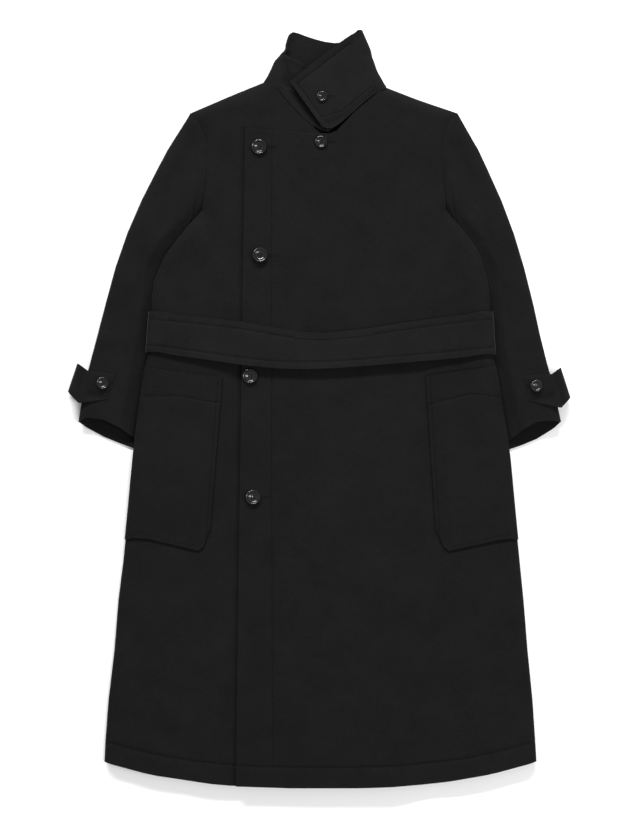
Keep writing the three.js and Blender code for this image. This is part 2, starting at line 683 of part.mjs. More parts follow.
// One crossing of the belt behind the back, lifted where it lies on the other end
function beltBehind(x, lapped) {
  const { top, bottom } = beltEdgesAt(x, true);
  const onLap = lapped * (BELT_WALL + SEAM) * (1 - smoothstep(Math.abs(x), BELT_END, BELT_END + 50));
  return beltAcross.map((share) => {
    const y = lerp(bottom, top, share);
    const z = tuckLift(x, y) + onLap;
    return { inner: new THREE.Vector3(x, y, z + BELT_WALL), outer: new THREE.Vector3(x, y, z) };
  });
}

// One crossing on the rounded fold of the body's side; a turn below 0 is under the side seam, above 0 over it
function beltAtSide(side, turn) {
  const away = outward(side);
  const { top, bottom } = beltEdgesAt(away, true);
  return beltAcross.map((share) => {
    const y = lerp(bottom, top, share);
    const edge = tableAt(SIDE, "y", side, y);
    const flatX = edge - away * SIDE_ROLL;
    const middle = bodyMiddle(flatX, y);
    const rise = frontHeight(flatX, y) - middle;
    const angle = (turn * Math.PI) / 2;
    const x = edge - away * SIDE_ROLL * (1 - Math.cos(angle));
    const place = new THREE.Vector3(x, y, middle + rise * Math.sin(angle));
    const normal = new THREE.Vector3(away * rise * Math.cos(angle), 0, SIDE_ROLL * Math.sin(angle));
    normal.normalize();
    return {
      inner: place.clone().addScaledVector(normal, BELT_ROOM),
      outer: place.clone().addScaledVector(normal, BELT_ROOM + BELT_WALL),
    };
  });
}

// One crossing over the front, where the belt stands off the cloth, more at its lower edge
function beltBefore(x) {
  const { top, bottom } = beltEdgesAt(x, false);
  const slack = smoothstep(256 - Math.abs(x), 0, 120);
  return beltAcross.map((share) => {
    const y = lerp(bottom, top, share);
    const rise = x < -120 ? OVERLAP_RISE * smoothstep(x, -165, -130) : overlapRise(x);
    const stand = REST + slack * lerp(BELT_STAND, BELT_TOP_STAND, share);
    const z = frontHeight(x, y) + rise + stand;
    return { inner: new THREE.Vector3(x, y, z), outer: new THREE.Vector3(x, y, z + BELT_WALL) };
  });
}

function beltPanel() {
  const middleY = 121.6;
  const behind = (side) =>
    [...TUCK_INSETS].reverse().map((inset) => edgeX(side, middleY) - outward(side) * inset);
  const turns = [-1, -0.75, -0.5, -0.22, 0, 0.22, 0.5, 0.75, 1];
  const frontPlaces = [
    -226, -203, -178, -164, -150, -138, -129, -118, -95, -65, -30, 5, 40, 75, 105, 126, 142, 158, 172, 204, 230,
  ];
  const crossings = [
    ...[BELT_END, 0, -BELT_END, -120, -150].map((x) => beltBehind(x, 0)),
    ...behind(LEFT).map((x) => beltBehind(x, 0)),
    ...turns.map((turn) => beltAtSide(LEFT, turn)),
    ...frontPlaces.map(beltBefore),
    ...[...turns].reverse().map((turn) => beltAtSide(RIGHT, turn)),
    ...behind(RIGHT).reverse().map((x) => beltBehind(x, 0)),
    ...[150, 120, 95, BELT_END, 0, -BELT_END].map((x) => beltBehind(x, 1)),
  ];
  return {
    outer: crossings.map((crossing) => crossing.map(({ outer }) => outer)),
    inner: crossings.map((crossing) => crossing.map(({ inner }) => inner)),
  };
}

panels.belt = beltPanel();

// Pockets: large patches sewn down along side, bottom and inner edge, open at the top

const POCKET = {
  left: {
    rows: [
      { y: 49.6, inner: -156.8 },
      { y: -208, inner: -176.8 },
      { y: -228.8, inner: -192 },
    ],
    top: [{ x: -290, y: 66 }, { x: -156.8, y: 49.6 }],
    bottom: [{ x: -317, y: -211.2 }, { x: -288, y: -206.4 }, { x: -192, y: -228.8 }, { x: -176.8, y: -208 }],
  },
  right: {
    rows: [
      { y: 51.2, inner: 169.6 },
      { y: -210.6, inner: 186.2 },
      { y: -228.8, inner: 204.5 },
    ],
    top: [{ x: 290, y: 69 }, { x: 169.6, y: 51.2 }],
    bottom: [{ x: 315.2, y: -210.6 }, { x: 297.6, y: -208.6 }, { x: 204.5, y: -228.8 }, { x: 186.2, y: -210.6 }],
  },
};
const POCKET_ROWS = [0, 0.06, 0.14, 0.24, 0.35, 0.46, 0.58, 0.72, 0.86, 1];
const POCKET_COLUMNS = [0.2, 0.4, 0.6, 0.8, 0.93, 1];

function pocketPanel(side) {
  const { rows, top, bottom } = POCKET[side];
  const away = outward(side);
  const insets = QUARTER.map((share) => SIDE_ROLL * (1 - Math.cos((lerp(0.1, 1, share) * Math.PI) / 2)));
  const base = POCKET_ROWS.map((rowShare) => {
    const rowY = lerp(-222, 58, rowShare);
    const edge = tableAt(SIDE, "y", side, rowY);
    const inner = tableAt(rows, "y", "inner", rowY);
    const places = [
      ...insets.map((inset) => edge - away * inset),
      ...POCKET_COLUMNS.map((share) => lerp(edge - away * SIDE_ROLL, inner, share)),
    ];
    return places.map((x) => {
      const low = tableAt(bottom, "x", "y", x);
      const high = tableAt(top, "x", "y", x);
      const y = lerp(low, high, rowShare);
      return new THREE.Vector3(x, y, frontTop(x, y));
    });
  });
  const normals = gridNormals(base, false, -away);
  const last = base[0].length - 1;
  const room = (point, i, j) => {
    const fromSide = smoothstep(i, 3, 6) * smoothstep(last - i, 0, 2);
    return POCKET_GAP + POCKET_ROOM * fromSide * smoothstep(j, 0, 3);
  };
  return {
    outer: moved(base, normals, (point, i, j) => room(point, i, j) + CLOTH),
    inner: moved(base, normals, room),
  };
}

panels.pocket_left = pocketPanel(LEFT);
panels.pocket_right = pocketPanel(RIGHT);

// Collar

// Points between the collar's rows, on a smooth curve through them
function smoothRows(rows, x, y, z, count) {
  const curve = new THREE.CatmullRomCurve3(rows.map((row) => new THREE.Vector3(row[x], row[y], row[z])));
  return Array.from({ length: count }, (_, k) => curve.getPoint(k / (count - 1)));
}

function collarPanel() {
  const count = 2 * COLLAR.length - 1;
  const feet = smoothRows(COLLAR, "footX", "footY", "footZ", count);
  const heads = smoothRows(COLLAR, "headX", "headY", "headZ", count);
  const grid = [0, 0.15, 0.4, 0.7, 1].map((share) => feet.map((foot, i) => foot.clone().lerp(heads[i], share)));
  const floor = (point) => point.setZ(Math.max(point.z, 0));
  grid.forEach((row) => row.forEach(floor));
  const normals = gridNormals(grid, false, -1);
  return { outer: grid, inner: moved(grid, normals, () => -COLLAR_WALL) };
}

panels.collar = collarPanel();

// Sleeve straps: rows run from the root under the sleeve, out past its outer fold and back over it

function strapPanel(side) {
  const { rootX, tip, cross, loop } = STRAP[side];
  const place = ([first, second], share) => new THREE.Vector2(...first).lerp(new THREE.Vector2(...second), share);
  const columns = [0, 0.34, 0.67, 1].map((share) => ({
    end: place(tip, share),
    middle: place(cross, share),
    far: place(loop, share),
  }));
  const pair = ({ x, y }, low, high) => ({ low: new THREE.Vector3(x, y, low), high: new THREE.Vector3(x, y, high) });
  const under = ({ end, middle }, toRoot) => {
    const reach = Math.abs(middle.x) - lerp(Math.abs(middle.x), rootX + 5, toRoot);
    const spot = middle.clone().lerp(end, reach / (Math.abs(middle.x) - Math.abs(end.x)));
    const { low, high } = pair(spot, 0, STRAP_WALL);
    return { outer: low, inner: high };
  };
  const over = ({ end, middle }, toTip) => {
    const spot = middle.clone().lerp(end, toTip);
    const height = sleeveHeight(spot.x, spot.y) + REST;
    const { low, high } = pair(spot, height, height + STRAP_WALL);
    return { outer: high, inner: low };
  };
  const around = ({ middle, far }, degrees) => {
    const out = far.clone().sub(middle).normalize();
    const center = far.clone().addScaledVector(out, -STRAP_LOOP);
    const rise = (sleeveHeight(middle.x, middle.y) + REST + STRAP_WALL) / 2;
    const angle = (degrees * Math.PI) / 180;
    const at = (wall) => {
      const { x, y } = center.clone().addScaledVector(out, (STRAP_LOOP - wall) * Math.cos(angle));
      return new THREE.Vector3(x, y, rise + (rise - wall) * Math.sin(angle));
    };
    return { outer: at(0), inner: at(STRAP_WALL) };
  };
  const rows = [
    ...[1, 0.5, 0].map((share) => columns.map((column) => under(column, share))),
    ...[-90, -60, -30, 0, 30, 60, 90].map((degrees) => columns.map((column) => around(column, degrees))),
    ...[0, 0.3, 0.65, 1].map((share) => columns.map((column) => over(column, share))),
  ];
  return {
    outer: rows.map((row) => row.map(({ outer }) => outer)),
    inner: rows.map((row) => row.map(({ inner }) => inner)),
  };
}

panels.sleeve_strap_left = strapPanel(LEFT);
panels.sleeve_strap_right = strapPanel(RIGHT);

// Meshes

const cloth = { color: 0x202021, roughness: 0.95, metalness: 0 };
const doubledCloth = { color: 0x242426, roughness: 0.95, metalness: 0 };
const horn = { color: 0x08080a, roughness: 0.15, metalness: 0 };

function meshOf(name, geometry, look) {
  const mesh = new THREE.Mesh(geometry, new THREE.MeshStandardMaterial(look));
  mesh.name = name;
  return mesh;
}

const coat = new THREE.Group();
for (const [name, { outer, inner, ring }] of Object.entries(panels)) {
  const look = ["belt", "collar"].includes(name) ? doubledCloth : cloth;
  coat.add(meshOf(name, wallGeometry(outer, inner, ring), look));
}

// Buttons: a dished disc with a raised rim, laid on its piece
function buttonGeometry(diameter) {
  const radius = diameter / 2;
  const height = diameter * 0.18;
  const profile = [
    [0, 0],
    [radius * 0.9, 0],
    [radius, height * 0.35],
    [radius, height * 0.65],
    [radius * 0.9, height],
    [radius * 0.74, height * 0.9],
    [radius * 0.64, height * 0.6],
    [0, height * 0.6],
  ];
  const points = profile.map(([x, y]) => new THREE.Vector2(x, y));
  return new THREE.LatheGeometry(points, 20).rotateX(Math.PI / 2);
}

for (const { name, on, x, y, diameter } of BUTTONS) {
  const seat = pointOn(panels[on].outer, x, y);
  const button = meshOf(name, buttonGeometry(diameter), horn);
  let lift = 0;
  for (let k = 0; k < 16; k++) {
    const angle = (k * Math.PI) / 8;
    const rimX = x + (diameter / 2) * Math.cos(angle);
    const rim = pointOn(panels[on].outer, rimX, y + (diameter / 2) * Math.sin(angle));
    if (rim) lift = Math.max(lift, rim.point.sub(seat.point).dot(seat.normal));
  }
  button.position.copy(seat.point).addScaledVector(seat.normal, REST + lift);
  button.quaternion.setFromUnitVectors(new THREE.Vector3(0, 0, 1), seat.normal);
  coat.add(button);
}

export default coat;
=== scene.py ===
"""Looks of a long wrap coat in heavy wool, laid flat on its back.

Sizes in the tables are in millimetres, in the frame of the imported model: +X to the viewer's
right, +Y from the hem to the collar, +Z up off the surface that the coat lies on.
"""

import math

import bmesh
import bpy
from mathutils import Matrix, Vector, noise
from mathutils.bvhtree import BVHTree


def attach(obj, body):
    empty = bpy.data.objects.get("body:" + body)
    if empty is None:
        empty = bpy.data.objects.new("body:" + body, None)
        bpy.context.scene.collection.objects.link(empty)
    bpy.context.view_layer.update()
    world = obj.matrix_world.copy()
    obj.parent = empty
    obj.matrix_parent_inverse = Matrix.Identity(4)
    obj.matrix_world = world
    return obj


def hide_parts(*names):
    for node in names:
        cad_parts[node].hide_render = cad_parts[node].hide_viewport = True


bl_info = {
    "name": "Wrap coat",
    "version": (1, 0, 0),
    "blender": (4, 5, 0),
    "location": "3D View > Sidebar > Coat",
    "description": "Makes the looks of a long wrap coat laid flat",
    "category": "Object",
}

MM = 0.001
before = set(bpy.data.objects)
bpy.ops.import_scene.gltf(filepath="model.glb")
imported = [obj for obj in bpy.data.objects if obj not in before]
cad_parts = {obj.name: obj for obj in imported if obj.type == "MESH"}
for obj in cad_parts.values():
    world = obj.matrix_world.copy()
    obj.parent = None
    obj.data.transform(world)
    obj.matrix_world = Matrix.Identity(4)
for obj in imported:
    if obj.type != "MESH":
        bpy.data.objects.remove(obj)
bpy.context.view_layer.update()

# Heights above the surface, in which a layer's share grows from 0 to 1, or for the back falls from 1 to 0
UPPER_LAYERS = (9.0, 15.5)
BACK_LAYER = (5.0, 8.0)
COLLAR_LEAF = (11.5, 14.5)
COLLAR_FLAP = (20.6, 22.4)

# The back lies flat outside this half width and below this height on the plan
BACK_FREE_HALF_WIDTH = 330
BACK_FREE_FROM_Y = -560

# A fold is left out beyond this many of its half widths
FOLD_REACH = 2.6
SEAM_DEPTH, SEAM_HALF_WIDTH = 1.5, 6.0

# The curved hem: its height at the sides, how far it sags between them, half its width
HEM_SIDE_Y, HEM_SAG, HEM_HALF_WIDTH = -566.4, 42, 346
HEM_CURVE = 2.7

# Meshes, in metres
MERGE_DISTANCE = 0.00001
CUT_DISTANCE = 0.00002
GROOVE_END = 0.006
# A face looks up, or down, from this share of its normal
FACING = 0.2

# Lines of the coat, on the plan

ARMHOLE = {
    "left": [(-207.2, 472.8), (-192.6, 457.6), (-183, 436.8), (-180.4, 412), (-182.6, 365), (-190.4, 316.8)],
    "right": [(220, 472.8), (204.4, 457.6), (196.6, 436.8), (195, 412), (198, 365), (203.2, 316.8)],
}
SHOULDER = {
    "left": [(-207.2, 472.8), (-144, 500), (-83.2, 524.8)],
    "right": [(220, 472.8), (158.4, 493.6), (103.5, 515)],
}
FRONT_EDGE = [(-120, 448), (-135.2, -606)]
FRONT_TOP = [(-120, 448), (-60, 443.6), (14, 438.6)]
BELT_TOP = [
    (-272, 154.4), (-203.2, 147.2), (-128, 138.6), (-73.6, 128.8), (-30.4, 121.6), (0, 120),
    (60.8, 124.8), (130.6, 136), (204, 146.2), (274, 154.4),
]
BELT_BOTTOM = [
    (-274, 89.6), (-203.2, 80.6), (-128, 69.4), (-73.6, 63.5), (-30.4, 62.4), (0, 62.6),
    (60.8, 66.2), (130.6, 72.4), (204, 78.6), (276, 86),
]

FLAP_TOP = [(60.8, 604.8), (30, 581), (-48, 521.6)]
FLAP_END = [(-48, 521.6), (-30, 493), (3.2, 449.6)]
FLAP_FOOT = [(3.2, 449.6), (42, 464), (66, 485), (88.5, 503.4), (101, 515.6)]
LEAF_VALLEY = [(-54.4, 566), (-52, 545), (-47, 515), (-20, 478), (4, 450)]
LEAF_TOP = [(-54.4, 563), (-36, 553), (-20, 546)]
POCKET_EDGES = {
    "front_inner": [(-156.8, 49.6), (-176.8, -208), (-192, -228.8), (-288, -206.4), (-314, -211)],
    "front_outer": [(169.6, 51.2), (186.2, -210.6), (204.5, -228.8), (297.6, -208.6), (312, -210.6)],
}

# Soft creases and ridges of the upper layers: line, half width, height, which is below 0 in a crease
FRONT_FOLDS = [
    ([(-78, 40), (-80, -560)], 11, -0.7),
    ([(-30, 50), (-48, -200), (-40, -480)], 34, 1.1),
    ([(42, 40), (58, -220), (40, -520)], 30, -1.0),
    ([(96, 30), (112, -260), (104, -590)], 26, 1.0),
    ([(150, 60), (160, -200), (172, -590)], 22, -1.2),
    ([(214, -240), (236, -590)], 34, 1.3),
    ([(280, -230), (300, -560)], 20, -0.8),
    ([(-158, 40), (-170, -300), (-186, -590)], 26, 0.9),
    ([(-236, -240), (-262, -570)], 32, 1.3),
    ([(-300, -240), (-312, -560)], 18, -0.7),
    ([(-196, 318), (-150, 262), (-96, 226)], 16, -1.4),
    ([(-210, 290), (-160, 228), (-120, 172)], 15, 1.3),
    ([(208, 318), (168, 258), (110, 214)], 16, -1.4),
    ([(222, 290), (180, 226), (140, 170)], 15, 1.3),
    ([(-40, 400), (-52, 290), (-36, 150)], 30, 0.9),
    ([(60, 420), (84, 300), (66, 150)], 28, -1.0),
    ([(140, 450), (128, 340), (150, 250)], 24, 0.9),
    ([(-236, 200), (-190, 176), (-120, 158)], 13, 1.2),
    ([(240, 200), (196, 178), (130, 160)], 13, 1.2),
    ([(-20, 158), (40, 152), (100, 160)], 10, 0.8),
    ([(-200, 470), (-150, 452), (-90, 470)], 18, 0.8),
    ([(206, 468), (160, 446), (100, 462)], 18, 0.8),
    ([(-214, 446), (-250, 372), (-300, 240), (-334, 120)], 15, 1.1),
    ([(-203, 424), (-222, 390), (-238, 352), (-256, 286)], 8, -1.9),
    ([(-182, 478), (-155, 484), (-102, 486), (-72, 482)], 6, 1.2),
    ([(-176, 462), (-130, 466), (-84, 466)], 9, -0.6),
    ([(198, 474), (160, 480), (118, 482)], 6, 1.1),
    ([(190, 456), (150, 460), (112, 462)], 9, -0.5),
    ([(-340, 150), (-300, 168), (-270, 214)], 13, -1.2),
    ([(-352, 108), (-310, 112), (-282, 140)], 12, 1.1),
    ([(-300, 60), (-330, -20)], 20, 0.8),
    ([(226, 444), (260, 360), (300, 240), (330, 120)], 17, 1.1),
    ([(212, 418), (234, 380), (254, 318), (270, 262)], 9, -1.7),
    ([(340, 160), (304, 172), (276, 214)], 13, -1.2),
    ([(350, 112), (314, 114), (286, 144)], 12, 1.1),
    ([(306, 60), (332, -20)], 20, 0.8),
]
FLAP_FOLDS = [
    ([(70, 590), (20, 520)], 16, -1.0),
    ([(90, 530), (30, 480)], 14, 0.9),
]
BACK_FOLDS = [
    ([(-90, 380), (-60, 220)], 30, 1.4),
    ([(70, 400), (50, 220)], 34, 1.2),
    ([(-120, -60), (-150, -560)], 34, 1.5),
    ([(10, -40), (-10, -580)], 38, 1.6),
    ([(130, -60), (168, -560)], 32, 1.4),
    ([(250, -180), (280, -540)], 28, 1.2),
    ([(-250, -180), (-286, -540)], 26, 1.3),
]

# Cloth pieces: cut width and length in metres, cut area in square metres, what the piece rests on, and
# its longest mesh edge in millimetres
CLOTH_PIECES = {
    "back": ((0.72, 1.18), 0.62, ["belt", "sleeve_left", "sleeve_right"], 11),
    "front_inner": ((0.50, 1.18), 0.44, ["back"], 9),
    "front_outer": ((0.51, 1.17), 0.46, ["front_inner", "back"], 9),
    "sleeve_left": ((0.34, 0.60), 0.108, ["sleeve_strap_left"], 7),
    "sleeve_right": ((0.34, 0.60), 0.101, ["sleeve_strap_right"], 7),
    "pocket_left": ((0.17, 0.31), 0.037, ["front_inner"], 6),
    "pocket_right": ((0.16, 0.31), 0.036, ["front_outer"], 6),
    "sleeve_strap_left": ((0.050, 0.150), 0.0064, ["sleeve_left"], 3),
    "sleeve_strap_right": ((0.050, 0.150), 0.0065, ["sleeve_right"], 3),
    "belt": ((0.068, 1.28), 0.083, ["front_outer", "front_inner"], 6),
    "collar": ((0.120, 0.42), 0.037, ["back", "front_outer", "front_inner"], 4),
}


def away_from(line, x, y):
    """Distance of a place from a line of points, on the plan."""
    best = 1e9
    for (ax, ay), (bx, by) in zip(line, line[1:]):
        dx, dy = bx - ax, by - ay
        t = max(0.0, min(1.0, ((x - ax) * dx + (y - ay) * dy) / (dx * dx + dy * dy)))
        best = min(best, math.hypot(x - ax - t * dx, y - ay - t * dy))
    return best


def ramp(value, low, high):
    """Smooth step from 0 at low to 1 at high."""
    t = max(0.0, min(1.0, (value - low) / (high - low)))
    return t * t * (3 - 2 * t)


def swell(away, width):
    """Share that is 1 on a line and fades smoothly with the distance from it."""
    return math.exp(-((away / width) ** 2))


def fold_height(folds, x, y):
    """Height that the soft creases and ridges add at a place, in millimetres."""
    total = 0.0
    for line, half_width, height in folds:
        away = away_from(line, x, y)
        if away < FOLD_REACH * half_width:
            total += height * swell(away, half_width)
    return total


def uneven(x, y, scale, seed):
    """Slow unevenness from -1 to 1."""
    return noise.noise(Vector((x / scale + seed, y / scale - seed, seed * 0.37)))


def seam_dip(x, y):
    """Hollow along the armhole and shoulder seams."""
    away = min(away_from(line, x, y) for group in (ARMHOLE, SHOULDER) for line in group.values())
    return -SEAM_DEPTH * swell(away, SEAM_HALF_WIDTH)


def upper_lift(x, y, z, strength):
    """How far the cloth of the upper layers is raised or lowered, in millimetres."""
    share = ramp(z, *UPPER_LAYERS)
    if share == 0.0:
        return 0.0
    soft = 0.9 * uneven(x, y, 120, 3.1) + 0.4 * uneven(x, y, 38, 7.7)
    return share * strength * (fold_height(FRONT_FOLDS, x, y) + soft + seam_dip(x, y))


def back_lift(x, y, z, strength):
    """How far the back is raised off the surface between the places where it rests."""
    if z > BACK_LAYER[1]:
        return 0.0
    share = 1 - ramp(z, *BACK_LAYER)
    inside = ramp(BACK_FREE_HALF_WIDTH - abs(x), 10, 60) * ramp(y - BACK_FREE_FROM_Y, 0, 50)
    soft = 0.5 * (1 + uneven(x, y, 90, 5.3))
    return share * inside * strength * (max(0.0, fold_height(BACK_FOLDS, x, y)) + soft)


# Meshes


def dense_copy(node, longest):
    """A CAD node's mesh, merged, with edges no longer than the given length in millimetres."""
    mesh = bmesh.new()
    mesh.from_mesh(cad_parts[node].data)
    bmesh.ops.remove_doubles(mesh, verts=mesh.verts, dist=MERGE_DISTANCE)
    bmesh.ops.join_triangles(
        mesh,
        faces=mesh.faces,
        angle_face_threshold=math.radians(35),
        angle_shape_threshold=math.radians(60),
    )
    for _ in range(8):
        long_edges = [edge for edge in mesh.edges if edge.calc_length() > longest * MM]
        if not long_edges:
            break
        bmesh.ops.subdivide_edges(mesh, edges=long_edges, cuts=1, use_grid_fill=True)
    wide = [face for face in mesh.faces if len(face.verts) > 4]
    bmesh.ops.triangulate(mesh, faces=wide)
    return mesh


def press_line(mesh, line, half_width, depth, upward=True):
    """Presses a sewn groove into the side of a wall that faces up, or down, along a line."""
    sign = 1 if upward else -1
    for (ax, ay), (bx, by) in zip(line, line[1:]):
        start, run = Vector((ax * MM, ay * MM, 0)), Vector(((bx - ax) * MM, (by - ay) * MM, 0))
        across = Vector((-run.y, run.x, 0)).normalized()
        length = run.length
        along = run.normalized()
        reach = (half_width + 9) * MM

        def near(face):
            place = face.calc_center_median() - start
            on_run = -GROOVE_END < place.dot(along) < length + GROOVE_END
            return on_run and abs(place.dot(across)) < reach and face.normal.z * sign > FACING

        for offset in (-half_width, -0.35 * half_width, 0.35 * half_width, half_width):
            faces = [face for face in mesh.faces if near(face)]
            edges = {edge for face in faces for edge in face.edges}
            verts = {vert for face in faces for vert in face.verts}
            bmesh.ops.bisect_plane(
                mesh,
                geom=[*faces, *edges, *verts],
                dist=CUT_DISTANCE,
                plane_co=start + across * offset * MM,
                plane_no=across,
            )
    for vert in mesh.verts:
        if vert.normal.z * sign < FACING:
            continue
        away = away_from(line, vert.co.x / MM, vert.co.y / MM)
        if away < half_width * 0.99:
            vert.co.z -= sign * depth * MM * (1 - (away / half_width) ** 2)


def piece_from(mesh, name, material, smooth_angle=50):
    """Turns a bmesh into an object at the origin that rides on the coat."""
    wide = [face for face in mesh.faces if len(face.verts) > 4]
    bmesh.ops.triangulate(mesh, faces=wide)
    data = bpy.data.meshes.new(name)
    mesh.to_mesh(data)
    mesh.free()
    data.materials.clear()
    data.materials.append(material)
    data.shade_smooth()
    data.set_sharp_from_angle(angle=math.radians(smooth_angle))
    piece = bpy.data.objects.new(name, data)
    bpy.context.scene.collection.objects.link(piece)
    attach(piece, "root")
    return piece


def soften_edges(piece, width):
    """Rounds the cut edges of a cloth wall, to a width in millimetres."""
    rounding = piece.modifiers.new("soft_edges", "BEVEL")
    rounding.width = width * MM
    rounding.segments = 2
    rounding.limit_method = "ANGLE"
    rounding.angle_limit = math.radians(48)


def surface_of(pieces):
    """Finds the highest point and its normal on some pieces, from a place on the plan."""
    trees = []
    for piece in pieces:
        mesh = bmesh.new()
        mesh.from_mesh(piece.data)
        trees.append(BVHTree.FromBMesh(mesh))
        mesh.free()

    def top_at(x, y):
        hits = [tree.ray_cast(Vector((x * MM, y * MM, 0.2)), Vector((0, 0, -1))) for tree in trees]
        hits = [(place, normal) for place, normal, _, _ in hits if place is not None]
        return max(hits, key=lambda hit: hit[0].z) if hits else None

    return top_at


def bar(mesh, sides, radius, length, place):
    """Adds a straight bar to a mesh."""
    bmesh.ops.create_cone(
        mesh, cap_ends=True, segments=sides, radius1=radius, radius2=radius, depth=length, matrix=place
    )


def stitch_row(mesh, line, top_at, length, pitch, width):
    """Adds a row of stitches along a line, each a small six-sided bar in its groove."""
    for (ax, ay), (bx, by) in zip(line, line[1:]):
        run = Vector((bx - ax, by - ay, 0))
        ahead = run.normalized()
        count = max(1, int(run.length * MM / pitch))
        for k in range(count):
            x, y = ax + run.x * (k + 0.5) / count, ay + run.y * (k + 0.5) / count
            hit = top_at(x, y)
            if hit is None:
                continue
            place, normal = hit
            along = (ahead - normal * ahead.dot(normal)).normalized()
            side = normal.cross(along)
            turn = Matrix((side, normal, along)).transposed().to_4x4()
            at = Matrix.Translation(place + normal * width * 0.1)
            bar(mesh, 6, width / 2, length, at @ turn)


def cloth_piece(node, mesh, material):
    """Makes a finished cloth object from a mesh in place of its CAD node, hides that node and rounds the
    cloth's edges.
    """
    piece = piece_from(mesh, node + "_cloth", material)
    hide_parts(node)
    soften_edges(piece, 0.8)


def laid_cloth(node, strength, extra=None):
    """The dense mesh of a cloth piece with its folds."""
    mesh = dense_copy(node, CLOTH_PIECES[node][3])
    for vert in mesh.verts:
        x, y, z = vert.co / MM
        lift = upper_lift(x, y, z, strength)
        if node == "back":
            lift += back_lift(x, y, z, strength)
        if extra:
            lift += extra(x, y, z)
        vert.co.z += lift * MM
    mesh.normal_update()
    return mesh


# Materials


def fresh_material(name, specular):
    """A new node material, with its node tree and its shader."""
    material = bpy.data.materials.new(name)
    material.use_nodes = True
    shader = material.node_tree.nodes["Principled BSDF"]
    shader.inputs["Specular IOR Level"].default_value = specular
    return material, material.node_tree, shader


def cloudy(tree, **settings):
    """A noise texture on the object's own coordinates."""
    place = tree.nodes.get("Texture Coordinate") or tree.nodes.new("ShaderNodeTexCoord")
    texture = tree.nodes.new("ShaderNodeTexNoise")
    for setting, value in settings.items():
        texture.inputs[setting.capitalize()].default_value = value
    tree.links.new(place.outputs["Object"], texture.inputs["Vector"])
    return texture.outputs["Fac"]


def tinted(tree, shader, source, colour, shares, stops=(0.0, 1.0)):
    """Runs the base colour between two shares of a colour."""
    tint = tree.nodes.new("ShaderNodeValToRGB")
    for element, stop, share in zip(tint.color_ramp.elements, stops, shares):
        element.position = stop
        element.color = (*(channel * share for channel in colour[:3]), 1)
    tree.links.new(source, tint.inputs["Fac"])
    tree.links.new(tint.outputs["Color"], shader.inputs["Base Color"])


def roughened(tree, shader, source, low, high):
    """Runs the roughness between two values."""
    spread = tree.nodes.new("ShaderNodeMapRange")
    spread.inputs["To Min"].default_value = low
    spread.inputs["To Max"].default_value = high
    tree.links.new(source, spread.inputs["Value"])
    tree.links.new(spread.outputs["Result"], shader.inputs["Roughness"])


def wool(name, colour):
    """Thick fulled wool: matt, with a soft uneven nap and a faint sheen of loose fibres."""
    material, tree, shader = fresh_material(name, 0.06)
    shader.inputs["Metallic"].default_value = 0.0
    shader.inputs["Sheen Weight"].default_value = 0.09
    shader.inputs["Sheen Roughness"].default_value = 0.35
    shader.inputs["Sheen Tint"].default_value = (0.62, 0.62, 0.66, 1)

    def blend(first, second, share):
        mixer = tree.nodes.new("ShaderNodeMix")
        mixer.inputs["Factor"].default_value = share
        tree.links.new(first, mixer.inputs["A"])
        tree.links.new(second, mixer.inputs["B"])
        return mixer.outputs["Result"]

    def raised(height, strength, distance):
        bump = tree.nodes.new("ShaderNodeBump")
        bump.inputs["Strength"].default_value = strength
        bump.inputs["Distance"].default_value = distance
        tree.links.new(height, bump.inputs["Height"])
        return bump

    patches = cloudy(tree, scale=22, detail=3, roughness=0.6)
    fibres = cloudy(tree, scale=520, detail=6, roughness=0.72)
    fluff = cloudy(tree, scale=1500, detail=3, roughness=0.6)
    pills = cloudy(tree, scale=160, detail=4, roughness=0.65)
    mottle = blend(blend(fibres, fluff, 0.4), patches, 0.16)
    tinted(tree, shader, mottle, colour, (0.35, 1.85), (0.32, 0.70))
    roughened(tree, shader, fibres, 0.82, 1.0)
    coarse = raised(blend(fibres, pills, 0.45), 0.55, 0.0012)
    fine = raised(fluff, 0.5, 0.0004)
    tree.links.new(coarse.outputs["Normal"], fine.inputs["Normal"])
    tree.links.new(fine.outputs["Normal"], shader.inputs["Normal"])
    return material


def polished_horn(name, colour):
    """Black polished button material with faint streaks."""
    material, tree, shader = fresh_material(name, 0.22)
    shader.inputs["Coat Weight"].default_value = 0.55
    shader.inputs["Coat Roughness"].default_value = 0.06
    streaks = cloudy(tree, scale=160, detail=4, distortion=1.5)
    tinted(tree, shader, streaks, colour, (1.0, 2.6))
    roughened(tree, shader, streaks, 0.12, 0.26)
    return material


def twisted_thread(name, colour):
    """Sewing thread with a fine twist."""
    material, tree, shader = fresh_material(name, 0.08)
    twist = cloudy(tree, scale=1400)
    tinted(tree, shader, twist, colour, (0.6, 1.4))
    roughened(tree, shader, twist, 0.55, 0.8)
    return material


def floor_paint(name, colour):
    """Plain pale floor with a barely visible unevenness."""
    material, tree, shader = fresh_material(name, 0.0)
    shader.inputs["Roughness"].default_value = 1.0
    tinted(tree, shader, cloudy(tree, scale=3), colour, (0.99, 1.0))
    return material


def material_named(name, make, *settings):
    """The material of that name, made when it is first asked for."""
    return bpy.data.materials.get(name) or make(name, *settings)


